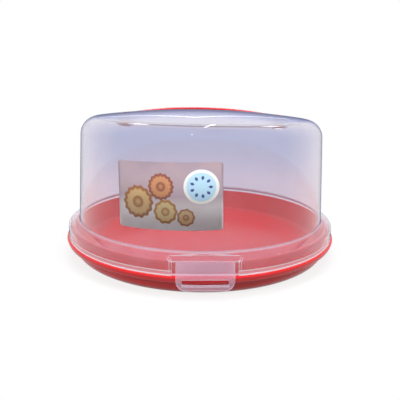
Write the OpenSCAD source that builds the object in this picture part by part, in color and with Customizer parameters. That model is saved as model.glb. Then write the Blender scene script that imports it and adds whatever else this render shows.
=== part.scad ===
// Round cake carrier: a moulded tray, a clear domed lid with two hinged clips,
// and a carry handle that folds back into a trough in the crown of the lid.
// Origin: centre of the foot, on the table. +Z up, front clip towards -Y.

/* [Tray] */
// Outer radius of the rim
rim_r = 160; // [140:0.5:166]
// How far the foot ring stays inside the rim
foot_inset = 19; // [16:0.5:24]
// Radial width of the foot ring
foot_w = 8; // [4:0.5:14]
// Depth of the recess under the floor
foot_recess = 1.2; // [0.6:0.2:3]
// Wall thickness of the tray
tray_wall = 2.2; // [1.4:0.1:3]
// Radius of the cove between the floor and the wall
cove_r = 6; // [3:0.5:10]
// Height of the top face of the rim
rim_z = 21.8; // [18:0.1:24]
// Height of the rim's turned-down edge
rim_drop = 6; // [4:0.1:9]
// Thickness of the rim
rim_t = 2.2; // [1.4:0.1:3]
// Rounding of the rim's outer edges
rim_round = 1.8; // [0.8:0.1:2]
// How far the rim's edge leans in at the bottom
rim_lean = 1; // [0:0.1:2]

/* [Lid] */
// Wall thickness of the lid
lid_wall = 1.4; // [1:0.1:2.4]
// Height of the lid's crown above the table
crown_z = 164; // [120:0.5:220]
// Radius of curvature of the crown
crown_curve_r = 950; // [500:10:1500]
// Radius of the rounded shoulder
shoulder_r = 20; // [12:0.5:26]
// How far the foot of the dome stays inside the rim
dome_inset = 14.7; // [14:0.1:20]
// Draft angle of the dome wall
dome_draft = 3.5; // [1:0.1:6]
// Height of the step at the foot of the dome, above the rim
skirt_h = 17.7; // [16:0.1:22]
// Slope of the step, measured at its normal
step_a = 76; // [70:1:85]
// Rounding of the corner between dome and step
dome_foot_round = 3; // [1:0.1:5]
// Rounding of the outer corner of the step
step_round = 4; // [2:0.1:6]
// Draft angle of the skirt
skirt_draft = 1.2; // [0.5:0.1:3]
// How far the foot of the skirt stays inside the rim
skirt_inset = 2.2; // [2:0.1:4]

/* [Clips] */
// Width of each clip
clip_w = 53.4; // [40:0.2:70]
// Gap beside a clip, to the end of its recess
clip_side_gap = 4.1; // [2:0.1:8]
// How far the flat panel behind a clip stays inside the rim
panel_inset = 6.6; // [5:0.1:8]
// Depth of the hinge line below the step of the lid
hinge_drop = 4.3; // [3:0.1:6]
// Radius of the bead along the hinge line
hinge_bead_r = 0.9; // [0.6:0.1:1.4]
// Depth of the ramp above the panel, towards the dome
ramp_depth = 7.4; // [5:0.1:10]
// Extra half width of the ramp at its back
ramp_splay = 3.8; // [0:0.1:6]
// Thickness of a clip
clip_t = 1.6; // [1.2:0.1:2.2]
// Height above the rim at which a clip bends from sloping to upright
clip_bend_rise = 2.2; // [1:0.1:5]
// Height of the finger grip, below the window
grip_h = 4.5; // [4:0.1:9]
// Radius of a clip's lower corners
clip_corner_r = 9; // [2:0.1:10]
// Outward slope of the finger grip
grip_out = 1; // [0:0.1:3]
// Width of the window in a clip
window_w = 43; // [30:0.5:46]
// Height of the window in a clip
window_h = 5.6; // [4.2:0.1:6]
// Height of the hook under the window
hook_h = 1.6; // [1:0.1:3]
// Gap between the hook and the lower edge of the rim
hook_gap = 0.4; // [0.2:0.1:1]

/* [Carry handle] */
// Radius of the handle's centre line
handle_r = 91.5; // [80:0.5:96]
// Width of the handle, across its curve
handle_w = 8; // [6:0.5:12]
// Thickness of the handle
handle_t = 5; // [4:0.1:7]
// Rounding of the handle's edges
handle_round = 1.6; // [0.5:0.1:1.9]
// Length of the thicker grip, along its curve
grip_len = 96; // [50:1:140]
// How far the grip stands out on each side
grip_extra = 0.2; // [0.2:0.1:1]
// Depth of the pivot below the crown
pivot_drop = 11; // [10:0.1:18]
// Backward slope of the folded handle
fold_a = 5; // [4:0.1:8]
// Radius of the round eye at each end
eye_r = 4.2; // [3.5:0.1:5]
// Radius of the pivot pin
pin_r = 2; // [1.5:0.1:2.5]
// How far the pin enters the lid
pin_reach = 2.2; // [1.5:0.1:4]
// Thickness of the boss round a pin, and of the wall at its end
boss_wall = 2; // [1:0.1:3]

/* [Label] */
// Width of the label
label_w = 100; // [40:1:110]
// Height of the label
label_h = 62.5; // [30:0.5:75]
// Thickness of the label
label_t = 0.25; // [0.1:0.05:0.4]
// Thickness of the glue under the label
label_glue = 0.05; // [0.04:0.01:0.1]
// Corner radius of the label
label_corner_r = 3; // [1:0.5:8]
// Depth of the label's centre below the crown
label_drop = 72; // [60:0.5:85]
// Direction of the label's centre, from the front towards +X
label_turn = -14.3; // [-60:0.1:60]
// Tilt of the label on the wall
label_tilt = 2; // [-5:0.1:5]

/* [Fits] */
// Gap between parts that rest on each other
seat_gap = 0.4; // [0.3:0.05:0.8]
// Gap between the tray wall and the flat panels of the lid
wall_gap = 0.7; // [0.4:0.05:1.2]
// Gap between the top of the tray wall and the lid's step
tray_top_gap = 4; // [3.8:0.1:8]
// Gap between a clip and the rim
clip_gap = 0.7; // [0.4:0.05:1.2]
// Gap between the hinge bead and the lid, where the thin web is
hinge_gap = 0.3; // [0.3:0.05:0.5]
// How far the hook's nose stops outside the rim
hook_clear = 0.35; // [0.3:0.05:0.6]
// Running clearance of the pivot pin, on its radius
pin_gap = 0.06; // [0.03:0.01:0.1]
// Gap beyond the end of the pivot pin
pin_end_gap = 0.2; // [0.1:0.1:1]
// Gap round the handle's eyes
eye_gap = 0.5; // [0.3:0.1:1]
// Gap beside the handle, outside its curve
trough_out_gap = 0.6; // [0.4:0.1:1.5]
// Gap beside the handle, inside its curve, where it swings up
trough_in_gap = 1.6; // [1.4:0.1:3]
// How much wider the well round each eye is than the trough, on each side
well_extra = 0.4; // [0.2:0.1:1]
// Gap under the folded handle
trough_floor_gap = 0.6; // [0.4:0.1:1.5]

/* [Hidden] */

round_fn = 180;
arc_steps = 8;
past = 1;

tray_red = "#d8232f";
lid_clear = [0.80, 0.82, 0.90, 0.35];
clip_clear = [0.85, 0.72, 0.80, 0.6];

// A line in a section or a plan is held as the angle of its outward normal and its distance
// along that normal. Two lines meet in one point.
function dir(a) = [cos(a), sin(a)];
function through(p, a) = [a, p * dir(a)];
function off(line, t) = [line[0], line[1] + t];
function meet(p, q) = [
    (p[1] * sin(q[0]) - q[1] * sin(p[0])) / sin(q[0] - p[0]),
    (q[1] * cos(p[0]) - p[1] * cos(q[0])) / sin(q[0] - p[0])
];
function arc(c, r, a0, a1, n = arc_steps) = [
    for (i = [0:n]) c + r * dir(a0 + (a1 - a0) * i / n)
];

// Lid: its outer surface is a chain of lines and arcs, and the inner one lies t inside it.
dome_r = rim_r - dome_inset;
step_z = rim_z + skirt_h;
seat_z = rim_z + seat_gap;
wall_line = through([dome_r, step_z], dome_draft);
step_line = through([dome_r, step_z], step_a);
skirt_line = through([rim_r - skirt_inset, seat_z], skirt_draft);
crown_c = [0, crown_z - crown_curve_r];

// Centre of the shoulder arc: inside the wall by its radius, and inside the crown by it too
function shoulder_centre() = let(
    inner = off(wall_line, -shoulder_r),
    a = inner[1] / cos(dome_draft),
    b = tan(dome_draft),
    reach = crown_curve_r - shoulder_r,
    q = 1 + b * b,
    h = a * b + crown_c[1],
    z = (h + sqrt(h * h - q * (a * a + crown_c[1] * crown_c[1] - reach * reach))) / q
) [a - b * z, z];

shoulder_c = shoulder_centre();
crown_a = atan2(shoulder_c[1] - crown_c[1], shoulder_c[0]);
dome_foot_c = meet(off(wall_line, dome_foot_round), off(step_line, dome_foot_round));
step_c = meet(off(step_line, -step_round), off(skirt_line, -step_round));

function lid_curve(t) = concat(
    arc(crown_c, crown_curve_r - t, 90, crown_a, 6),
    arc(shoulder_c, shoulder_r - t, crown_a, dome_draft, 12),
    arc(dome_foot_c, -dome_foot_round - t, dome_draft, step_a, 6),
    arc(step_c, step_round - t, step_a, skirt_draft)
);

// Clips
notch_half = clip_w / 2 + clip_side_gap;
panel_y = rim_r - panel_inset;
hinge_z = step_z - hinge_drop;
hinge_y = panel_y + hinge_bead_r + hinge_gap;
ramp_low = hinge_z + hinge_bead_r / 2;
ramp_back = panel_y - ramp_depth;
ramp_corner = norm([notch_half + ramp_splay, ramp_back]);
ramp_high = (step_line[1] - ramp_corner * cos(step_a)) / sin(step_a);
ramp_line = through([panel_y, ramp_low], atan2(ramp_depth, ramp_high - ramp_low));
splay_line = through([notch_half, panel_y], atan2(ramp_splay, ramp_depth));
clip_in = rim_r + clip_gap;
clip_out = clip_in + clip_t;
rim_low = rim_z - rim_drop;
hook_top = rim_low - hook_gap;
hook_r = rim_r + hook_clear;
clip_bend_z = rim_z + clip_bend_rise;
clip_bottom_z = hook_top - grip_h;
clip_depth = clip_out + grip_out - panel_y + past;

// Carry handle
pivot_z = crown_z - pivot_drop;
handle_in = handle_r - handle_w / 2;
handle_out = handle_r + handle_w / 2;
trough_in = handle_in - trough_in_gap;
trough_out = handle_out + trough_out_gap;
well_mid = (trough_in + trough_out) / 2;
well_w = trough_out - trough_in + 2 * well_extra;
grip_a = grip_len / handle_r * 180 / PI;

// Tray
foot_r = rim_r - foot_inset;
tray_h = step_z - lid_wall - tray_top_gap;
tray_out = panel_y - lid_wall - wall_gap;
tray_in = tray_out - tray_wall;
floor_z = foot_recess + tray_wall;

module tray_section() {
    polygon(concat(
        [[0, foot_recess], [foot_r - foot_w - foot_recess, foot_recess], [foot_r - foot_w, 0]],
        arc([foot_r, tray_out - foot_r], tray_out - foot_r, -90, 0),
        [[tray_out, rim_z - rim_t], [rim_r - rim_t, rim_z - rim_t]],
        arc([rim_r - rim_lean - rim_t / 2, rim_low + rim_t / 2], rim_t / 2, -180, 0),
        arc([rim_r - rim_round, rim_z - rim_round], rim_round, 0, 90, 5),
        [[tray_out, rim_z]],
        arc([tray_out - tray_wall / 2, tray_h - tray_wall / 2], tray_wall / 2, 0, 180, 6),
        arc([tray_in - cove_r, floor_z + cove_r], cove_r, 0, -90),
        [[0, floor_z]]
    ));
}

module base_tray() {
    color(tray_red) rotate_extrude($fn = round_fn) tray_section();
}

// Solid bounded by the lid's surface, taken t inside it
module dome_solid(t, bottom) {
    rotate_extrude($fn = round_fn) polygon(concat(
        [[0, bottom]],
        [for (p = lid_curve(t)) [max(p[0], 0), p[1]]],
        [meet(off(skirt_line, -t), [90, bottom])]
    ));
}

// Recess that a clip hangs in: a flat panel, and a ramp above it that cuts into the step
module notch(t) {
    ramp = off(ramp_line, -t);
    splay = off(splay_line, t);
    front = rim_r + past;
    corner = meet([0, notch_half + t], splay);
    back = meet([90, ramp_back - t], splay);
    intersection() {
        rotate([90, 0, -90]) linear_extrude(4 * notch_half, center = true) polygon([
            [front, 0], [panel_y - t, 0], meet([0, panel_y - t], ramp),
            meet([0, ramp_back - t], ramp), [ramp_back - t, crown_z], [front, crown_z]
        ]);
        linear_extrude(crown_z) polygon([
            [-corner[0], -front], [corner[0], -front], [corner[0], -corner[1]],
            [back[0], -back[1]], [-back[0], -back[1]], [-corner[0], -corner[1]]
        ]);
    }
}

module lid_body(t, bottom) {
    difference() {
        dome_solid(t, bottom);
        for (turn = [0, 180]) rotate(turn) notch(t);
    }
}

// The folded handle's plane: it tips back about the pivot
module folded() {
    translate([0, 0, pivot_z]) rotate([fold_a, 0, 0]) children();
}

// Half ring behind the pivot, in the handle's own plane
module half_ring(r_in, r_out, low, high) {
    rotate_extrude(angle = 180, $fn = round_fn) translate([r_in, low]) square([r_out - r_in, high - low]);
}

module trough(t) {
    low = -handle_t / 2 - trough_floor_gap - t;
    folded() half_ring(trough_in - t, trough_out + t, low, pivot_drop + past);
    for (side = [-1, 1]) translate([side * well_mid, 0, pivot_z]) {
        rotate([0, 90, 0]) cylinder(r = eye_r + eye_gap + t, h = well_w + 2 * t, center = true, $fn = 48);
        translate([-well_w / 2 - t, -eye_r - eye_gap - t, 0])
            cube([well_w + 2 * t, 2 * (eye_r + eye_gap + t), pivot_drop + past]);
    }
}

module pivot_line(r, reach) {
    for (side = [-1, 1]) translate([side * well_mid, 0, pivot_z]) rotate([0, 90, 0])
        cylinder(r = r, h = well_w + 2 * reach, center = true, $fn = 48);
}

module lid() {
    color(lid_clear) difference() {
        union() {
            difference() {
                lid_body(0, seat_z);
                lid_body(lid_wall, seat_z - past);
            }
            intersection() {
                union() {
                    trough(lid_wall);
                    pivot_line(pin_r + boss_wall, pin_reach + pin_end_gap + boss_wall);
                }
                dome_solid(0, seat_z);
            }
        }
        trough(0);
        pivot_line(pin_r + pin_gap, pin_reach + pin_end_gap);
    }
}

// Front view of a clip: straight top, rounded lower corners
module clip_outline() {
    half = clip_w / 2;
    low = clip_bottom_z + clip_corner_r;
    translate([-half, low]) square([clip_w, hinge_z - low]);
    translate([-half + clip_corner_r, clip_bottom_z]) square([clip_w - 2 * clip_corner_r, clip_corner_r]);
    for (side = [-1, 1]) translate([side * (half - clip_corner_r), low]) circle(clip_corner_r, $fn = 48);
}

module clip() {
    slope_a = atan2(clip_in - hinge_y, hinge_z - clip_bend_z);
    lean = clip_t / 2 / cos(slope_a);
    color(clip_clear) difference() {
        union() {
            intersection() {
                rotate([90, 0, -90]) linear_extrude(clip_w + past, center = true) polygon([
                    [hinge_y - lean, hinge_z], [hinge_y + lean, hinge_z],
                    [clip_out, clip_bend_z], [clip_out, hook_top],
                    [clip_out + grip_out, clip_bottom_z], [clip_in + grip_out, clip_bottom_z],
                    [clip_in, hook_top], [clip_in, clip_bend_z - clip_t / 2]
                ]);
                translate([0, -panel_y, 0]) rotate([90, 0, 0]) linear_extrude(clip_depth) clip_outline();
            }
            intersection() {
                translate([-window_w / 2, -clip_in - clip_t / 2, hook_top - hook_h])
                    cube([window_w, clip_t * 3, hook_h]);
                difference() {
                    cylinder(r = rim_r * 2, h = step_z, $fn = round_fn);
                    translate([0, 0, -past]) cylinder(r = hook_r, h = step_z + 2 * past, $fn = round_fn);
                }
            }
            translate([0, -hinge_y, hinge_z]) rotate([0, 90, 0])
                cylinder(r = hinge_bead_r, h = clip_w, center = true, $fn = 32);
        }
        translate([-window_w / 2, -clip_out - past, hook_top])
            cube([window_w, clip_t + 2 * past, window_h]);
    }
}

module front_clip() clip();

module rear_clip() rotate(180) clip();

module handle_section(extra) {
    w = handle_w + 2 * extra - 2 * handle_round;
    t = handle_t + extra - 2 * handle_round;
    translate([handle_r, extra / 2]) {
        square([w + 2 * handle_round, t], center = true);
        square([w, t + 2 * handle_round], center = true);
        for (x = [-w / 2, w / 2], z = [-t / 2, t / 2]) translate([x, z]) circle(handle_round, $fn = 24);
    }
}

module carry_handle() {
    color(tray_red) {
        folded() {
            rotate_extrude(angle = 180, $fn = round_fn) handle_section(0);
            rotate(90 - grip_a / 2) rotate_extrude(angle = grip_a, $fn = round_fn) handle_section(grip_extra);
        }
        for (side = [-1, 1]) translate([side * handle_r, 0, pivot_z]) rotate([0, 90, 0])
            cylinder(r = eye_r, h = handle_w, center = true, $fn = 48);
        pivot_line(pin_r, pin_reach);
    }
}

// Sticker on the dome wall, a rounded rectangle wrapped round the cone
module printed_label() {
    half_w = label_w / 2 - label_corner_r;
    half_h = label_h / 2 - label_corner_r;
    back = off(wall_line, label_glue);
    skin = off(back, label_t);
    low = [90, dome_foot_c[1] + dome_foot_round];
    high = [90, shoulder_c[1]];
    color("white") intersection() {
        rotate_extrude($fn = round_fn)
            polygon([meet(back, low), meet(skin, low), meet(skin, high), meet(back, high)]);
        rotate([0, 0, label_turn]) translate([0, 0, crown_z - label_drop])
            rotate([90, -label_tilt, 0]) linear_extrude(rim_r) {
                square([label_w, 2 * half_h], center = true);
                square([2 * half_w, label_h], center = true);
                for (x = [-half_w, half_w], y = [-half_h, half_h])
                    translate([x, y]) circle(label_corner_r, $fn = 32);
            }
    }
}

base_tray();
lid();
front_clip();
rear_clip();
carry_handle();
printed_label();
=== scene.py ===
from math import atan2, cos, degrees, pi, radians, sin, sqrt, tan

import bmesh
import bpy
from mathutils import Matrix, Quaternion, Vector
from mathutils.geometry import intersect_line_sphere_2d


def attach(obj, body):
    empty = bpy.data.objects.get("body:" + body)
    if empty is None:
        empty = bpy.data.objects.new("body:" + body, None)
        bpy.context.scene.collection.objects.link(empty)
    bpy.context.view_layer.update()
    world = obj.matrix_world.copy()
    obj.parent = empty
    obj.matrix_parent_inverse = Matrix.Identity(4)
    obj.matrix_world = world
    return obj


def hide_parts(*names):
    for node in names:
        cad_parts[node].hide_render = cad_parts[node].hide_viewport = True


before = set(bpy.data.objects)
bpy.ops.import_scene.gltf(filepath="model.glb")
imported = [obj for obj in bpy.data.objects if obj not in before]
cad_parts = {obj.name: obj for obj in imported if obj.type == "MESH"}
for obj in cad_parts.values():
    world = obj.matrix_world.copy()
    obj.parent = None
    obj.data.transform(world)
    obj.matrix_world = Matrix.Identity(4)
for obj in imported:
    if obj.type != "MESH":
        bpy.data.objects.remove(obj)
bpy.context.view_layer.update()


# ---- Tray ----
# One moulding of red polypropylene: a foot ring, a low wall that stands up inside the lid,
# and a broad rim with its edge turned down, which the lid sits on and the clips catch under.
# It comes glossy out of a polished mould, with a faint ripple that the cooling plastic leaves.
MM = 0.001
LATHE_STEPS = 180
SHARP_EDGE = radians(32)

FOOT_R, FOOT_W, FOOT_RECESS, FLOOR_Z = 141.0, 8.0, 1.2, 3.4
TRAY_OUT, TRAY_IN, TRAY_TOP = 151.3, 149.1, 34.1
RIM_R, RIM_Z, RIM_LOW, RIM_T, RIM_LEAN = 160.0, 21.8, 15.8, 2.2, 1.0
WALL_FILLET = 1.9

RED_PLASTIC, RED_PLASTIC_DEEP = "#E2121B", "#D60C15"
PLASTIC_IOR = 1.49


def draw(bm, corners):
    """Draws a line in the XZ plane, in mm. A corner is a point (x, z) or a round one:
    (centre x, centre z, radius, from angle, to angle, steps), hollow if the radius is negative."""
    first = tip = None
    for corner in corners:
        x, z = corner[:2]
        if len(corner) > 2:
            radius, start, end, steps = corner[2:]
            x += radius * cos(radians(start))
            z += radius * sin(radians(start))
        place = Vector((x, 0, z)) * MM
        if tip is None:
            first = tip = bmesh.ops.create_vert(bm, co=place)["vert"][0]
        else:
            tip = bmesh.ops.extrude_vert_indiv(bm, verts=[tip])["verts"][0]
            tip.co = place
        if len(corner) > 2:
            centre = Vector((corner[0], 0, corner[1])) * MM
            turn = bmesh.ops.spin(
                bm, geom=[tip], cent=centre, axis=(0, 1, 0), angle=radians(start - end), steps=steps
            )
            tip = turn["geom_last"][0]
    return first, tip


def clean(bm):
    bmesh.ops.remove_doubles(bm, verts=bm.verts, dist=2e-7)
    bmesh.ops.recalc_face_normals(bm, faces=bm.faces)


def piece(name, bm, *materials):
    """Puts the mesh in the scene, smooth but for its sharp edges."""
    mesh = bpy.data.meshes.new(name)
    bm.to_mesh(mesh)
    bm.free()
    mesh.shade_smooth()
    mesh.set_sharp_from_angle(angle=SHARP_EDGE)
    for material in materials:
        mesh.materials.append(material)
    made = bpy.data.objects.new(name, mesh)
    bpy.context.scene.collection.objects.link(made)
    return made


def turned(corners, closed=False):
    """A solid of revolution round the Z axis."""
    bm = bmesh.new()
    first, last = draw(bm, corners)
    if closed:
        bm.edges.new((last, first))
    bmesh.ops.spin(
        bm, geom=bm.verts[:] + bm.edges[:], cent=(0, 0, 0), axis=(0, 0, 1),
        angle=2 * pi, steps=LATHE_STEPS, use_merge=True,
    )
    clean(bm)
    return bm


def linear(hex_colour):
    """The linear RGBA of an sRGB hex colour."""
    parts = [int(hex_colour[i : i + 2], 16) / 255 for i in (1, 3, 5)]
    return [c / 12.92 if c <= 0.04045 else ((c + 0.055) / 1.055) ** 2.4 for c in parts] + [1]


def add(tree, kind, inputs=None, **settings):
    """Adds a node. An input is given a value, or the output socket that feeds it."""
    node = tree.nodes.new("ShaderNode" + kind)
    for key, value in settings.items():
        setattr(node, key, value)
    for key, value in (inputs or {}).items():
        if isinstance(value, bpy.types.NodeSocket):
            tree.links.new(value, node.inputs[key])
        else:
            node.inputs[key].default_value = value
    return node


def ramp(tree, factor, stops):
    """A colour ramp through (position, hex colour) stops."""
    node = add(tree, "ValToRGB", {"Fac": factor})
    elements = node.color_ramp.elements
    elements.remove(elements[1])
    elements[0].position, elements[0].color = stops[0][0], linear(stops[0][1])
    for position, colour in stops[1:]:
        elements.new(position).color = linear(colour)
    return node.outputs["Color"]


def map_range(tree, value, low, high, to_low=0.0, to_high=1.0):
    inputs = {"Value": value, "From Min": low, "From Max": high, "To Min": to_low, "To Max": to_high}
    return add(tree, "MapRange", inputs).outputs["Result"]


def math(tree, operation, a, b=0.0):
    return add(tree, "Math", {0: a, 1: b}, operation=operation).outputs[0]


def new_material(name):
    material = bpy.data.materials.new(name)
    material.use_nodes = True
    material.node_tree.nodes.clear()
    return material, material.node_tree


def moulded_red(name):
    """Injection moulded polypropylene in solid red: IOR 1.49, gloss from a polished mould,
    orange peel about 6 mm across and a little dulling from handling."""
    material, tree = new_material(name)
    place = add(tree, "TexCoord").outputs["Object"]
    flow = add(tree, "TexNoise", {"Vector": place, "Scale": 28.0, "Detail": 3.0}).outputs["Fac"]
    tone = ramp(tree, flow, [(0.3, RED_PLASTIC_DEEP), (0.7, RED_PLASTIC)])
    wear = add(tree, "TexNoise", {"Vector": place, "Scale": 90.0, "Detail": 6.0, "Roughness": 0.7})
    gloss = map_range(tree, wear.outputs["Fac"], 0.35, 0.7, 0.2, 0.26)
    peel = add(tree, "TexNoise", {"Vector": place, "Scale": 160.0, "Detail": 1.0})
    bump = add(tree, "Bump", {"Height": peel.outputs["Fac"], "Strength": 0.06, "Distance": 0.0004})
    plastic = add(
        tree, "BsdfPrincipled",
        {"Base Color": tone, "Roughness": gloss, "IOR": PLASTIC_IOR, "Normal": bump.outputs["Normal"]},
    )
    add(tree, "OutputMaterial", {"Surface": plastic.outputs["BSDF"]})
    return material


tray = piece(
    "tray_moulding",
    turned(
        [
            (0, FOOT_RECESS), (FOOT_R - FOOT_W - FOOT_RECESS, FOOT_RECESS),
            (FOOT_R - FOOT_W + 0.3, 0.3, 0.3, 180, 270, 3),
            (FOOT_R, TRAY_OUT - FOOT_R, TRAY_OUT - FOOT_R, -90, 0, 12),
            (TRAY_OUT + 0.6, RIM_Z - RIM_T - 0.6, -0.6, 0, -90, 4),
            (RIM_R - RIM_T - 0.4, RIM_Z - RIM_T - 0.4, -0.4, 270, 180, 4),
            (RIM_R - RIM_LEAN - RIM_T / 2, RIM_LOW + RIM_T / 2, RIM_T / 2, -180, 0, 10),
            (RIM_R - 1.8, RIM_Z - 1.8, 1.8, 0, 90, 8),
            (TRAY_OUT + WALL_FILLET, RIM_Z + WALL_FILLET, -WALL_FILLET, 90, 0, 8),
            (TRAY_OUT - 1.1, TRAY_TOP - 1.1, 1.1, 0, 180, 10),
            (TRAY_IN - 6, FLOOR_Z + 6, 6, 0, -90, 10),
            (0, FLOOR_Z),
        ]
    ),
    moulded_red("red_polypropylene_tray"),
)
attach(tray, "tray")
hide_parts("base_tray")

# ---- Lid ----
# One moulding of natural polypropylene, clear with a slight haze: a low crown, a round shoulder,
# a drafted wall, a broad step and an upright skirt that sits on the tray's rim. Behind each clip
# step and skirt are cut back to a ramp and a flat panel. A trough in the crown takes the handle.
LID_WALL = 1.4
CROWN_Z, CROWN_R, SHOULDER_R = 164.0, 950.0, 20.0
DOME_R, DOME_DRAFT, DOME_FOOT_ROUND = 145.3, 3.5, 3.0
STEP_Z, STEP_NORMAL, STEP_ROUND = 39.5, 76.0, 4.0
SKIRT_R, SKIRT_DRAFT, SEAT_Z = 157.8, 1.2, 21.9
PANEL_Y, NOTCH_HALF, RAMP_LOW, RAMP_HIGH = 153.4, 30.8, 35.65, 38.33
RAMP_DEPTH, RAMP_SPLAY = 7.4, 3.8
PIVOT_Z, FOLD = 153.0, 5.0
TROUGH_IN, TROUGH_OUT, TROUGH_LOW, TROUGH_HIGH = 85.9, 96.1, -3.1, 12.0
WELL_MID, WELL_HALF, WELL_R = 91.0, 5.5, 4.7
BOSS_R, BOSS_HALF, PIN_HOLE_R, PIN_HOLE_HALF = 4.0, 9.9, 2.06, 7.9

# Colours of the clear plastic: high and low on the wall and aslant, which paint reflection and sheen into
# it, and the milk of its haze
LID_TINTS = ("#D3D6E8", "#EBE4EC", "#F8F2F6", "#E4DDEC")
# Painted shade at the silhouette: the cast the wall takes up seen edge on, darkening to a dark outline
EDGE_CAST_AND_SHADE, EDGE_PAINTED_SHADE = "#8A90BE", "#5C6180"
FROSTED_HIGHLIGHT = "#FBF2F8"
# Heights of the painted highlights: the skirt's frosted foot, the thin line round the skirt and the milky
# band along the dome's foot fillet; and the radius where the skirt starts
SKIRT_HIGHLIGHT_FROST, SKIRT_HIGHLIGHT_LINE, FILLET_Z, SKIRT_FROM = 23.2, 26.7, 41.0, 157.0


def line(point, angle, shift=0.0):
    """A line in a plan or section, from a point on it: its outward normal, in degrees, and its
    distance along that. The shift moves it outwards."""
    return angle, point[0] * cos(radians(angle)) + point[1] * sin(radians(angle)) + shift


def meet(one, other):
    a, b = radians(one[0]), radians(other[0])
    return (
        (one[1] * sin(b) - other[1] * sin(a)) / sin(b - a),
        (other[1] * cos(a) - one[1] * cos(b)) / sin(b - a),
    )


def lid_section(wall, low):
    """The section of the lid's surface, and of the one that lies the wall's thickness inside it."""
    foot, crown_centre = (DOME_R, STEP_Z), Vector((0, CROWN_Z - CROWN_R))
    inner = line(foot, DOME_DRAFT, -SHOULDER_R)
    ends = [Vector(meet(inner, (90, z))) for z in (0, CROWN_Z)]
    shoulder = max(
        intersect_line_sphere_2d(*ends, crown_centre, CROWN_R - SHOULDER_R, False), key=lambda p: p.y
    )
    crown_end = degrees(atan2(shoulder.y - crown_centre.y, shoulder.x))
    skirt = line((SKIRT_R, SEAT_Z), SKIRT_DRAFT)
    dome_foot = meet(line(foot, DOME_DRAFT, DOME_FOOT_ROUND), line(foot, STEP_NORMAL, DOME_FOOT_ROUND))
    corner = meet(line(foot, STEP_NORMAL, -STEP_ROUND), (skirt[0], skirt[1] - STEP_ROUND))
    return [
        (*crown_centre, CROWN_R - wall, 90, crown_end, 14),
        (*shoulder, SHOULDER_R - wall, crown_end, DOME_DRAFT, 20),
        (*dome_foot, -DOME_FOOT_ROUND - wall, DOME_DRAFT, STEP_NORMAL, 8),
        (*corner, STEP_ROUND - wall, STEP_NORMAL, SKIRT_DRAFT, 8),
        meet((skirt[0], skirt[1] - wall), (90, low)),
        (0, low),
    ]


def extruded(corners, direction):
    """A prism: a closed line in the XZ plane, carried along the direction, in mm."""
    bm = bmesh.new()
    first, last = draw(bm, corners)
    bm.edges.new((last, first))
    face = bmesh.ops.contextual_create(bm, geom=bm.edges[:])["faces"]
    far = bmesh.ops.extrude_face_region(bm, geom=face)["geom"]
    ends = [v for v in far if isinstance(v, bmesh.types.BMVert)]
    bmesh.ops.translate(bm, verts=ends, vec=Vector(direction) * MM)
    clean(bm)
    return bm


def placed(bm, matrix):
    bmesh.ops.transform(bm, matrix=matrix, verts=bm.verts)
    if matrix.determinant() < 0:
        bmesh.ops.reverse_faces(bm, faces=bm.faces)
    return bm


def joined(target, tool, operation):
    """Cuts the tool out of the target, adds it or keeps what they share. Both are bmeshes."""
    a, b = piece("work_a", target), piece("work_b", tool)
    cut = a.modifiers.new("cut", "BOOLEAN")
    cut.operation, cut.solver, cut.object = operation, "MANIFOLD", b
    solid = a.evaluated_get(bpy.context.evaluated_depsgraph_get()).to_mesh()
    result = bmesh.new()
    result.from_mesh(solid)
    for work in (a, b):
        mesh = work.data
        bpy.data.objects.remove(work)
        bpy.data.meshes.remove(mesh)
    return result


TURN = Matrix.Rotation(pi, 4, "Z")


def notch(wall):
    """The space cut out of step and skirt for the front clip: what a view from the side and
    a plan have in common."""
    back, front = PANEL_Y - RAMP_DEPTH, RIM_R + 1
    slope = degrees(atan2(RAMP_DEPTH, RAMP_HIGH - RAMP_LOW))
    sloped = line((PANEL_Y, RAMP_LOW), slope, -wall)
    side = extruded(
        [
            (front, 0), (PANEL_Y - wall, 0), meet((0, PANEL_Y - wall), sloped),
            meet((0, back - wall), sloped), (back - wall, CROWN_Z), (front, CROWN_Z),
        ],
        (0, 4 * NOTCH_HALF, 0),
    )
    placed(side, Matrix.Translation(Vector((0, -2 * NOTCH_HALF, 0)) * MM))
    placed(side, Matrix.Rotation(radians(-90), 4, "Z"))
    splay = line((NOTCH_HALF, PANEL_Y), degrees(atan2(RAMP_SPLAY, RAMP_DEPTH)), wall)
    near, far = meet((0, NOTCH_HALF + wall), splay), meet((90, back - wall), splay)
    plan = extruded(
        [(near[0], front), near, far, (-far[0], far[1]), (-near[0], near[1]), (-near[0], front)],
        (0, CROWN_Z, 0),
    )
    placed(plan, Matrix.Rotation(radians(90), 4, "X"))
    return joined(side, plan, "INTERSECT")


def lid_body(wall, low):
    body = turned(lid_section(wall, low))
    for turn in (Matrix.Identity(4), TURN):
        body = joined(body, placed(notch(wall), turn), "DIFFERENCE")
    return body


FOLDED = Matrix.Translation((0, 0, PIVOT_Z * MM)) @ Matrix.Rotation(radians(FOLD), 4, "X")


def half_ring(corners, start=0, angle=180, steps=72):
    """A closed line in the XZ plane, swept round the back half in the folded handle's plane."""
    bm = bmesh.new()
    first, last = draw(bm, corners)
    bm.edges.new((last, first))
    bmesh.ops.contextual_create(bm, geom=bm.edges[:])
    bmesh.ops.rotate(bm, verts=bm.verts, matrix=Matrix.Rotation(radians(start), 3, "Z"))
    bmesh.ops.spin(
        bm, geom=bm.verts[:] + bm.edges[:] + bm.faces[:], cent=(0, 0, 0), axis=(0, 0, 1),
        angle=radians(angle), steps=steps,
    )
    clean(bm)
    return placed(bm, FOLDED)


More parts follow.
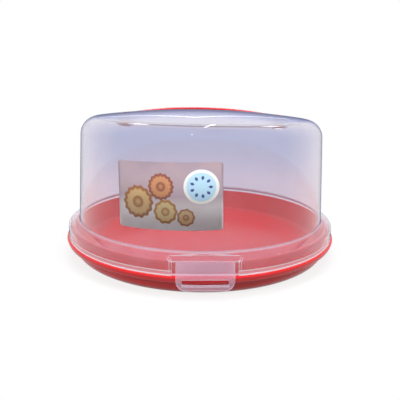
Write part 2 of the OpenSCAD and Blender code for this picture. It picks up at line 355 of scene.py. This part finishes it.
def trough(wall):
    """The handle's trough and the well round each of its eyes."""
    low, round_low = TROUGH_LOW - wall, 1 + wall
    inside, outside = TROUGH_IN - wall, TROUGH_OUT + wall
    space = half_ring(
        [
            (inside, TROUGH_HIGH),
            (inside + round_low, low + round_low, round_low, 180, 270, 5),
            (outside - round_low, low + round_low, round_low, -90, 0, 5),
            (outside, TROUGH_HIGH),
        ]
    )
    for side in (-1, 1):
        radius, half = WELL_R + wall, WELL_HALF + wall
        well = extruded(
            [(-radius, TROUGH_HIGH), (0, 0, radius, 180, 360, 24), (radius, TROUGH_HIGH)], (0, 2 * half, 0)
        )
        placed(well, Matrix.Rotation(radians(90), 4, "Z"))
        placed(well, Matrix.Translation(Vector((side * WELL_MID + half, 0, PIVOT_Z)) * MM))
        space = joined(space, well, "UNION")
    return space


def across(radius, half, side, middle=WELL_MID):
    """A round bar along X, through a pivot."""
    bm = bmesh.new()
    bmesh.ops.create_cone(
        bm, cap_ends=True, segments=40, radius1=radius * MM, radius2=radius * MM, depth=2 * half * MM
    )
    placed(bm, Matrix.Rotation(radians(90), 4, "Y"))
    return placed(bm, Matrix.Translation(Vector((side * middle, 0, PIVOT_Z)) * MM))


def overprint(tree, below, colour, share):
    """Prints one colour, a hex or a socket, over what is below by a share."""
    node = tree.nodes.new("ShaderNodeMix")
    node.data_type = "RGBA"
    factor, a, b = node.inputs[0], node.inputs[6], node.inputs[7]
    tree.links.new(share, factor)
    tree.links.new(below, a)
    if isinstance(colour, str):
        b.default_value = linear(colour)
    else:
        tree.links.new(colour, b)
    return node.outputs[2]


def frosted_highlight_plastic(name):
    """Natural polypropylene, matt and near white, laid on the clip recesses' upright sides as a painted
    highlight: its fine grain scatters most light.
    """
    material, tree = new_material(name)
    place = add(tree, "TexCoord").outputs["Object"]
    grain = add(tree, "TexNoise", {"Vector": place, "Scale": 900.0, "Detail": 2.0}).outputs["Fac"]
    bump = add(tree, "Bump", {"Height": grain, "Strength": 0.3, "Distance": 0.0001}).outputs["Normal"]
    matt = add(
        tree, "BsdfPrincipled",
        {
            "Base Color": linear(FROSTED_HIGHLIGHT), "IOR": PLASTIC_IOR, "Normal": bump,
            "Transmission Weight": 0.1, "Roughness": map_range(tree, grain, 0.3, 0.7, 0.45, 0.6),
        },
    )
    add(tree, "OutputMaterial", {"Surface": matt.outputs["BSDF"]})
    return material


def natural_plastic(name, tints, haze, highlight_frost_width, frosted_highlight_below=0.0, highlight_line=0.0):
    """Natural polypropylene, 1.4 mm thick: IOR 1.49, clear and glossy with a lilac grey cast,
    tinted bluer high on the wall and lighter low down and aslant, as painted reflection and sheen.
    Its crystals scatter a little light, more along the lines in which it flowed down the wall.
    Its silhouette gets a painted dark outline, and its sharp edges are frosted white as painted
    highlights. Lamps reach what is under it."""
    high, low, grazing_painted_sheen, milky = tints
    material, tree = new_material(name)
    place = add(tree, "TexCoord").outputs["Object"]
    stretched = add(tree, "Mapping", {"Vector": place, "Scale": (1.0, 1.0, 0.12)}).outputs["Vector"]
    flow = add(tree, "TexNoise", {"Vector": stretched, "Scale": 55.0, "Detail": 4.0}).outputs["Fac"]
    wear = add(tree, "TexNoise", {"Vector": place, "Scale": 120.0, "Detail": 6.0, "Roughness": 0.7})
    gloss = map_range(tree, wear.outputs["Fac"], 0.35, 0.7, 0.004, 0.02)
    peel = add(tree, "TexNoise", {"Vector": place, "Scale": 110.0, "Detail": 1.0})
    bump = add(tree, "Bump", {"Height": peel.outputs["Fac"], "Strength": 0.015, "Distance": 0.0004})
    normal = bump.outputs["Normal"]
    # Seen edge on, the wall is tinted lighter, a painted sheen. Near the silhouette the milk darkens:
    #     # partly the cast taken up on the long path through the wall, partly a painted dark outline.
    #     # A band along the dome's foot fillet is made milkier, a painted highlight
    slant = add(tree, "LayerWeight", {"Blend": 0.5}).outputs["Facing"]
    height = add(tree, "SeparateXYZ", {"Vector": place}).outputs["Z"]
    # Painted reflection: the tint is bluer and darker high on the wall, lighter low down
    height_painted_tint = ramp(tree, math(tree, "DIVIDE", height, CROWN_Z * MM), [(0.4, low), (0.75, high)])
    # Painted sheen: lighter where the wall is seen aslant
    tone = overprint(tree, height_painted_tint, grazing_painted_sheen, map_range(tree, slant, 0.3, 0.65))
    clear = add(
        tree, "BsdfPrincipled",
        {
            "Base Color": tone, "Roughness": gloss, "IOR": PLASTIC_IOR, "Transmission Weight": 1.0,
            "Normal": normal,
        },
    )
    # Painted shade: the milk darkens towards the silhouette into a dark outline
    milk_and_painted_outline = ramp(tree, slant, [(0.78, milky), (0.87, EDGE_CAST_AND_SHADE), (0.94, EDGE_PAINTED_SHADE)])
    milky_haze_and_painted_light = add(tree, "BsdfDiffuse", {"Color": milk_and_painted_outline, "Normal": normal})
    specks = map_range(tree, flow, 0.3, 0.7, haze * 0.75, haze * 1.25)
    foot = map_range(tree, height, 0.06, 0.035, 1.0, 2.0)
    # Painted highlight: a milkier band along the dome's foot fillet
    fillet = math(tree, "ABSOLUTE", math(tree, "SUBTRACT", height, FILLET_Z * MM))
    painted_fillet_highlight = map_range(tree, fillet, 0.0006, 0.0018, 0.3, 0.0)
    share = math(tree, "ADD", math(tree, "MULTIPLY", specks, foot), painted_fillet_highlight)
    # Painted dark outline: the milk takes over near the silhouette
    share = math(tree, "ADD", share, map_range(tree, slant, 0.81, 0.94, 0.0, 0.88))
    clear_haze_and_painted_light = add(tree, "MixShader", {0: share, 1: clear.outputs["BSDF"], 2: milky_haze_and_painted_light.outputs["BSDF"]})
    # Painted highlights: the sharp edges and the skirt's foot are frosted white
    true_normal = add(tree, "NewGeometry").outputs["Normal"]
    rounded = add(tree, "Bevel", {"Radius": highlight_frost_width * MM}, samples=6).outputs["Normal"]
    same = add(tree, "VectorMath", {0: true_normal, 1: rounded}, operation="DOT_PRODUCT").outputs["Value"]
    edge = map_range(tree, math(tree, "ABSOLUTE", same), 0.99, 0.9)
    band = math(tree, "LESS_THAN", height, frosted_highlight_below * MM)
    # Round the skirt runs a thin frosted line, a painted highlight, and the plastic below it is frosted a
    # little
    flat = add(tree, "VectorMath", {0: place, 1: (1, 1, 0)}, operation="MULTIPLY").outputs["Vector"]
    from_axis = add(tree, "VectorMath", {0: flat}, operation="LENGTH").outputs["Value"]
    outside = math(tree, "GREATER_THAN", from_axis, SKIRT_FROM * MM)
    off_line = math(tree, "ABSOLUTE", math(tree, "SUBTRACT", height, highlight_line * MM))
    bead = math(
        tree, "MAXIMUM", map_range(tree, off_line, 0.0004, 0.0007, 0.8, 0.0),
        map_range(tree, height, (highlight_line - 0.2) * MM, highlight_line * MM, 0.25, 0.0),
    )
    band = math(tree, "MAXIMUM", band, math(tree, "MULTIPLY", bead, outside))
    highlight_frost = math(tree, "MULTIPLY", math(tree, "MAXIMUM", edge, band), 0.95)
    frosted_highlight = add(
        tree, "BsdfPrincipled", {"Base Color": linear(FROSTED_HIGHLIGHT), "Roughness": 0.5, "IOR": PLASTIC_IOR}
    )
    with_painted_highlights = add(tree, "MixShader", {0: highlight_frost, 1: clear_haze_and_painted_light.outputs["Shader"], 2: frosted_highlight.outputs["BSDF"]})
    let_through = add(tree, "BsdfTransparent", {"Color": (0.9, 0.9, 0.92, 1)})
    path = add(tree, "LightPath")
    surface = add(
        tree, "MixShader",
        {0: path.outputs["Is Shadow Ray"], 1: with_painted_highlights.outputs["Shader"], 2: let_through.outputs["BSDF"]},
    )
    add(tree, "OutputMaterial", {"Surface": surface.outputs["Shader"]})
    return material


shell = joined(lid_body(0, SEAT_Z), lid_body(LID_WALL, SEAT_Z - 1), "DIFFERENCE")
carrier = trough(LID_WALL)
for side in (-1, 1):
    carrier = joined(carrier, across(BOSS_R, BOSS_HALF, side), "UNION")
carrier = joined(carrier, turned(lid_section(0, SEAT_Z)), "INTERSECT")
shell = joined(shell, carrier, "UNION")
shell = joined(shell, trough(0), "DIFFERENCE")
for side in (-1, 1):
    shell = joined(shell, across(PIN_HOLE_R, PIN_HOLE_HALF, side), "DIFFERENCE")

# The upright sides of each clip's recess are frosted white, a painted highlight
HIGHLIGHT_FROST_MARGIN, SIDEWAYS = 0.1, 0.6
for face in shell.faces:
    spot = face.calc_center_median() / MM
    nearest, farthest = NOTCH_HALF - HIGHLIGHT_FROST_MARGIN, NOTCH_HALF + RAMP_SPLAY + HIGHLIGHT_FROST_MARGIN
    beside_clip = nearest < abs(spot.x) < farthest and spot.z < STEP_Z
    if beside_clip and abs(spot.y) > PANEL_Y - RAMP_DEPTH and abs(face.normal.x) > SIDEWAYS:
        face.material_index = 1

# The lid's sharp edges, skirt foot and skirt line are frosted white as painted highlights
lid_plastic = natural_plastic("natural_polypropylene_lid", LID_TINTS, 0.03, 0.7, SKIRT_HIGHLIGHT_FROST, SKIRT_HIGHLIGHT_LINE)
lid = piece("clear_lid", shell, lid_plastic, frosted_highlight_plastic("frosted_highlight_polypropylene"))
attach(lid, "lid")
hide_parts("lid")

# ---- Clips ----
# Two flaps of the same natural polypropylene on thin living hinges. Each has a bead along the
# hinge, a window that the tray's rim shows through, a ledge that catches under the rim,
# and a grip that leans out for the fingers. They are thicker than the lid, so they look milkier.
CLIP_HALF, HINGE_Y, HINGE_Z, BEAD_R = 26.7, 154.6, 35.2, 0.9
CLIP_IN, CLIP_OUT, GRIP_OUT = 160.7, 162.3, 1.0
BEND_Z, HOOK_TOP, HOOK_H, CLIP_LOW, CLIP_CORNER = 24.0, 15.4, 1.6, 10.9, 9.0
HOOK_R = 160.35
WINDOW_HALF, WINDOW_H, WINDOW_ROUND = 21.5, 5.6, 1.0


def clip_flap():
    side_view = [
        (HINGE_Y - BEAD_R, HINGE_Z), (HINGE_Y + BEAD_R, HINGE_Z), (CLIP_OUT, BEND_Z), (CLIP_OUT, HOOK_TOP),
        (CLIP_OUT + GRIP_OUT, CLIP_LOW), (CLIP_IN + GRIP_OUT, CLIP_LOW), (CLIP_IN, HOOK_TOP),
        (CLIP_IN, BEND_Z - 0.8),
    ]
    bm = extruded(side_view, (0, 2 * (CLIP_HALF + 1), 0))
    placed(bm, Matrix.Translation(Vector((0, -CLIP_HALF - 1, 0)) * MM))
    placed(bm, Matrix.Rotation(radians(-90), 4, "Z"))
    corner = CLIP_CORNER
    outline = extruded(
        [
            (-CLIP_HALF, HINGE_Z),
            (-CLIP_HALF + corner, CLIP_LOW + corner, corner, 180, 270, 12),
            (CLIP_HALF - corner, CLIP_LOW + corner, corner, -90, 0, 12),
            (CLIP_HALF, HINGE_Z),
        ],
        (0, 20, 0),
    )
    placed(outline, Matrix.Translation(Vector((0, -168, 0)) * MM))
    bm = joined(bm, outline, "INTERSECT")
    ledge = extruded(
        [(-WINDOW_HALF, HOOK_TOP - HOOK_H), (WINDOW_HALF, HOOK_TOP - HOOK_H), (WINDOW_HALF, HOOK_TOP),
         (-WINDOW_HALF, HOOK_TOP)],
        (0, 5, 0),
    )
    placed(ledge, Matrix.Translation(Vector((0, -CLIP_IN - 0.8, 0)) * MM))
    rim_space = turned([(0, 0), (HOOK_R, 0), (HOOK_R, BEND_Z), (0, BEND_Z)])
    bm = joined(bm, joined(ledge, rim_space, "DIFFERENCE"), "UNION")
    bead = bmesh.new()
    bmesh.ops.create_cone(
        bead, cap_ends=True, segments=32, radius1=BEAD_R * MM, radius2=BEAD_R * MM, depth=2 * CLIP_HALF * MM
    )
    placed(bead, Matrix.Rotation(radians(90), 4, "Y"))
    placed(bead, Matrix.Translation(Vector((0, -HINGE_Y, HINGE_Z)) * MM))
    bm = joined(bm, bead, "UNION")
    r = WINDOW_ROUND
    window = extruded(
        [
            (-WINDOW_HALF + r, HOOK_TOP + r, r, 180, 270, 4), (WINDOW_HALF - r, HOOK_TOP + r, r, -90, 0, 4),
            (WINDOW_HALF - r, HOOK_TOP + WINDOW_H - r, r, 0, 90, 4),
            (-WINDOW_HALF + r, HOOK_TOP + WINDOW_H - r, r, 90, 180, 4),
        ],
        (0, 4, 0),
    )
    placed(window, Matrix.Translation(Vector((0, -164, 0)) * MM))
    return joined(bm, window, "DIFFERENCE")


# The clip's tints: the same high and low, a lighter one aslant that is a painted sheen, and its milk
CLIP_TINTS = ("#EEE2F0", "#EEE2F0", "#F0E6F0", "#EBD3E6")
# The clip's sharp edges are frosted white as painted highlights
clip_plastic = natural_plastic("natural_polypropylene_clip", CLIP_TINTS, 0.09, 0.45)
for name, turn in (("front_clip", Matrix.Identity(4)), ("rear_clip", TURN)):
    flap = piece(name + "_flap", placed(clip_flap(), turn), clip_plastic)
    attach(flap, name)
    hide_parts(name)

# ---- Carry handle ----
# A half hoop of the tray's red polypropylene with a thicker grip and a round eye at each end.
# Pins moulded on the eyes snap into blind bosses in the lid. Folded back, it lies in the trough.
HANDLE_R, HANDLE_W, HANDLE_T, HANDLE_ROUND = 91.5, 8.0, 5.0, 1.6
GRIP_EXTRA, GRIP_ANGLE = 0.2, 60.1
EYE_R, PIN_R, PIN_HALF = 4.2, 2.0, 7.7


def bar_section(extra):
    r = HANDLE_ROUND
    x, low, high = HANDLE_W / 2 + extra - r, -HANDLE_T / 2 + r, HANDLE_T / 2 + extra - r
    return [
        (HANDLE_R + x, low, r, -90, 0, 6), (HANDLE_R + x, high, r, 0, 90, 6),
        (HANDLE_R - x, high, r, 90, 180, 6), (HANDLE_R - x, low, r, 180, 270, 6),
    ]


hoop = half_ring(bar_section(0))
hoop = joined(hoop, half_ring(bar_section(GRIP_EXTRA), 90 - GRIP_ANGLE / 2, GRIP_ANGLE, 30), "UNION")
for side in (-1, 1):
    hoop = joined(hoop, across(EYE_R, HANDLE_W / 2, side, HANDLE_R), "UNION")
    hoop = joined(hoop, across(PIN_R, PIN_HALF, side), "UNION")
handle = piece("handle_hoop", hoop, moulded_red("red_polypropylene_handle"))
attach(handle, "handle")
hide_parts("carry_handle")

# ---- Sticker ----
# A rectangle of coated paper with round corners, printed in four colours and stuck to the wall
# a little to the left of the clip. The print is a plain design of plates, rosettes and berries.
LABEL_W, LABEL_H, LABEL_T, LABEL_CORNER, LABEL_GLUE = 100.0, 62.5, 0.2, 3.0, 0.03
LABEL_Z, LABEL_TURN, LABEL_TILT = 92.0, radians(-14.3), radians(2)


def sticker_sheet():
    bm = bmesh.new()
    prints = bm.loops.layers.uv.new("print")
    bmesh.ops.create_grid(bm, x_segments=1, y_segments=1, size=0.5)
    bmesh.ops.scale(bm, vec=(LABEL_W, LABEL_H, 1), verts=bm.verts)
    bmesh.ops.bevel(
        bm, geom=bm.verts[:], offset=LABEL_CORNER, segments=8, profile=0.5, affect="VERTICES",
        material=-1, offset_type="OFFSET",
    )
    cuts = 50
    for i in range(1, cuts):
        bmesh.ops.bisect_plane(
            bm, geom=bm.verts[:] + bm.edges[:] + bm.faces[:],
            plane_co=((i / cuts - 0.5) * LABEL_W, 0, 0), plane_no=(1, 0, 0),
        )
    for face in bm.faces:
        for loop in face.loops:
            u, v = loop.vert.co.x / LABEL_W + 0.5, loop.vert.co.y / LABEL_H + 0.5
            loop[prints].uv = (u, v)
    for v in bm.verts:
        x = v.co.x * cos(LABEL_TILT) - v.co.y * sin(LABEL_TILT)
        z = LABEL_Z + v.co.x * sin(LABEL_TILT) + v.co.y * cos(LABEL_TILT)
        r = DOME_R - (z - STEP_Z) * tan(radians(DOME_DRAFT)) + LABEL_GLUE
        v.co = Vector((x, -sqrt(r * r - x * x), z)) * MM
    bmesh.ops.rotate(bm, verts=bm.verts, matrix=Matrix.Rotation(LABEL_TURN, 3, "Z"))
    bmesh.ops.recalc_face_normals(bm, faces=bm.faces)
    front = next(iter(bm.faces))
    if front.normal.y > 0:
        bmesh.ops.reverse_faces(bm, faces=bm.faces)
    return bm


def printed_paper(name):
    """Coated paper, four colour print with a satin seal: IOR 1.5, roughness about 0.35."""
    material, tree = new_material(name)
    uv = add(tree, "UVMap", uv_map="print").outputs["UV"]
    place = add(
        tree, "Mapping",
        {"Vector": uv, "Location": (-LABEL_W / 2, -LABEL_H / 2, 0), "Scale": (LABEL_W, LABEL_H, 1)},
    ).outputs["Vector"]
    parts = add(tree, "SeparateXYZ", {"Vector": place}).outputs
    up = map_range(tree, parts["Y"], -LABEL_H / 2, LABEL_H / 2)
    picture = ramp(tree, up, [(0, "#FBFAFD"), (0.35, "#E6DEE4"), (0.5, "#B5A0AC"), (1, "#9C8996")])
    blur = add(tree, "TexNoise", {"Vector": place, "Scale": 0.05, "Detail": 1.0}).outputs["Fac"]
    picture = overprint(tree, picture, "#C9A9A0", map_range(tree, blur, 0.35, 0.65, 0.0, 0.2))
    for x, y, radius, petals, dark, light in (
        (-29, -6, 15, 14, "#9C6238", "#E6C48E"), (-2, -14, 11, 10, "#B0783F", "#F0DCA8"),
        (-6, 9, 12, 16, "#8A4A3C", "#D79A6A"), (17, -19, 8, 9, "#A86B45", "#EBCFA0"),
    ):
        picture = rosette(tree, picture, place, (x, y), radius, petals, dark, light)
    picture = plate(tree, picture, place, (31, 9), 16)
    ink = add(
        tree, "BsdfPrincipled",
        {"Base Color": picture, "Roughness": 0.36, "IOR": 1.5, "Coat Weight": 0.25, "Coat Roughness": 0.15},
    )
    fibre = add(tree, "TexNoise", {"Vector": place, "Scale": 2.5, "Detail": 4.0})
    grain = add(tree, "Bump", {"Height": fibre.outputs["Fac"], "Strength": 0.08, "Distance": 0.0001})
    tree.links.new(grain.outputs["Normal"], ink.inputs["Normal"])
    add(tree, "OutputMaterial", {"Surface": ink.outputs["BSDF"]})
    return material


def rosette(tree, below, place, centre, radius, petals, dark, light):
    """A round with a scalloped edge and rings from dark outside to light inside."""
    local = add(tree, "VectorMath", {0: place, 1: (*centre, 0)}, operation="SUBTRACT").outputs["Vector"]
    parts = add(tree, "SeparateXYZ", {"Vector": local}).outputs
    away = add(tree, "VectorMath", {0: local}, operation="LENGTH").outputs["Value"]
    angle = math(tree, "ARCTAN2", parts["Y"], parts["X"])
    wave = math(tree, "COSINE", math(tree, "MULTIPLY", angle, float(petals)))
    edge = math(tree, "ADD", math(tree, "MULTIPLY", wave, 0.045 * radius), float(radius))
    near = math(tree, "DIVIDE", away, edge)
    rings = ramp(
        tree, near,
        [(0, light), (0.3, dark), (0.42, light), (0.72, light), (0.86, dark), (1, dark)],
    )
    crumbs = add(tree, "TexNoise", {"Vector": place, "Scale": 0.8, "Detail": 3.0}).outputs["Fac"]
    baked = overprint(tree, rings, dark, math(tree, "MULTIPLY", crumbs, 0.6))
    return overprint(tree, below, baked, map_range(tree, near, 1.03, 0.97))


def plate(tree, below, place, centre, radius):
    """A pale blue plate with a cream rim and a ring of berries."""
    local = add(tree, "VectorMath", {0: place, 1: (*centre, 0)}, operation="SUBTRACT").outputs["Vector"]
    parts = add(tree, "SeparateXYZ", {"Vector": local}).outputs
    away = add(tree, "VectorMath", {0: local}, operation="LENGTH").outputs["Value"]
    near = math(tree, "DIVIDE", away, float(radius))
    rings = ramp(
        tree, near, [(0, "#B9DDF3"), (0.8, "#B4D8F0"), (0.83, "#EDE8E2"), (0.97, "#F2EEEA"), (1, "#8FA9C4")]
    )
    picture = overprint(tree, below, rings, map_range(tree, near, 1.02, 0.98))
    angle = math(tree, "ARCTAN2", parts["Y"], parts["X"])
    wave = math(tree, "COSINE", math(tree, "MULTIPLY", angle, 9.0))
    ring = math(tree, "ABSOLUTE", math(tree, "SUBTRACT", near, 0.52))
    berry = math(tree, "SUBTRACT", math(tree, "MULTIPLY", wave, 0.12), ring)
    return overprint(tree, picture, "#3E4A86", map_range(tree, berry, -0.02, 0.02))


sticker = piece("dome_sticker", sticker_sheet(), printed_paper("printed_paper"))
thickness = sticker.modifiers.new("paper", "SOLIDIFY")
thickness.thickness, thickness.offset = LABEL_T * MM, 1
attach(sticker, "lid")
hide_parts("printed_label")

# ---- Studio ----
# A white floor that fades into a white surround, soft boxes above and to the sides, and small
# ones behind that glint in the lid. The camera sees the surround as white, straight on, in gloss
# and through clear plastic.
FILL = 0.36


def seen_directly(tree):
    path = add(tree, "LightPath").outputs
    in_plastic = math(tree, "MAXIMUM", path["Is Glossy Ray"], path["Is Transmission Ray"])
    return math(tree, "MAXIMUM", path["Is Camera Ray"], in_plastic)


world = bpy.data.worlds.new("white_surround")
bpy.context.scene.world = world
world.use_nodes = True
sky = world.node_tree
sky.nodes.clear()
level = map_range(sky, seen_directly(sky), 0.0, 1.0, FILL, 1.0)
light = add(sky, "Background", {"Color": (1, 1, 1, 1), "Strength": level})
add(sky, "OutputWorld", {"Surface": light.outputs["Background"]})

paper, tree = new_material("white_floor")
place = add(tree, "TexCoord").outputs["Object"]
grain = add(tree, "TexNoise", {"Vector": place, "Scale": 400.0}).outputs["Fac"]
tone = map_range(tree, seen_directly(tree), 0.0, 1.0, 0.18, 0.9)
tone = math(tree, "ADD", tone, map_range(tree, grain, 0.0, 1.0, 0.0, 0.04))
matt = add(tree, "BsdfDiffuse", {"Color": tone})
glow = add(tree, "Emission", {"Color": (1, 1, 1, 1), "Strength": 1.0})
away = add(tree, "VectorMath", {0: place}, operation="LENGTH").outputs["Value"]
fade = map_range(tree, away, 0.15, 0.32, 0.8, 1.0)
share = math(tree, "MULTIPLY", seen_directly(tree), fade)
both = add(tree, "MixShader", {0: share, 1: matt.outputs["BSDF"], 2: glow.outputs["Emission"]})
add(tree, "OutputMaterial", {"Surface": both.outputs["Shader"]})
ground = bmesh.new()
bmesh.ops.create_grid(ground, x_segments=1, y_segments=1, size=6)
floor = piece("studio_floor", ground, paper)


def soft_box(name, place, width, height, watts, mirrored=False, roll=0.0):
    """A lamp aimed at the dome, out of the camera's sight. Only the mirrored ones show in gloss."""
    lamp = bpy.data.lights.new(name, "AREA")
    lamp.shape, lamp.size, lamp.size_y, lamp.energy = "RECTANGLE", width, height, watts
    made = bpy.data.objects.new(name, lamp)
    bpy.context.scene.collection.objects.link(made)
    made.location = place
    turn = (DOME_MIDDLE - Vector(place)).to_track_quat("-Z", "Y") @ Quaternion((0, 0, 1), radians(roll))
    made.rotation_euler = turn.to_euler()
    made.visible_camera = made.visible_transmission = False
    made.visible_glossy = mirrored


DOME_MIDDLE = Vector((0, 0, 0.08))
soft_box("top_box", (0, -0.15, 1.3), 0.9, 0.6, 9.5)
soft_box("front_glint", (-0.14, -0.53, 1.05), 0.03, 0.03, 0.03, True)
soft_box("left_box", (-0.9, -0.9, 0.9), 0.5, 0.5, 8)
soft_box("right_box", (0.9, -0.7, 1.0), 0.5, 0.5, 8)
soft_box("back_strip_left", (-0.21, 1.3, 0.41), 0.46, 0.014, 0.045, True, -23)
soft_box("back_strip_right", (0.21, 1.3, 0.41), 0.46, 0.014, 0.045, True, 23)
soft_box("back_streak", (0.055, 0.75, 0.95), 0.02, 1.0, 0.4, True)
soft_box("left_glint", (-0.31, 0.565, 0.76), 0.09, 0.12, 0.3, True)
soft_box("right_glint", (0.36, 0.55, 0.72), 0.09, 0.1, 0.16, True)
soft_box("far_right_glint", (0.62, 0.445, 0.95), 0.1, 0.1, 0.16, True)

# ---- Camera ----
# A short lens from 0.55 m, a little above the lid, with the front clip turned slightly right.
YAW, ROLL = radians(1.6), radians(1.26)
camera = bpy.data.cameras.new("camera")
camera.sensor_width = 36
camera.lens = 431.8 / 400 * 36
camera.shift_x = -14.7 / 400
view = bpy.data.objects.new("camera", camera)
bpy.context.scene.collection.objects.link(view)
eye = Vector((-0.520 * sin(YAW), -0.520 * cos(YAW), 0.1856))
aim = Vector((0.0163 * cos(YAW), -0.0163 * sin(YAW), 0.0547))
view.location = eye
view.rotation_mode = "QUATERNION"
view.rotation_quaternion = (aim - eye).to_track_quat("-Z", "Y") @ Quaternion((0, 0, 1), ROLL)
bpy.context.scene.camera = view
bpy.context.scene.view_settings.view_transform = "Standard"

bpy.context.view_layer.update()
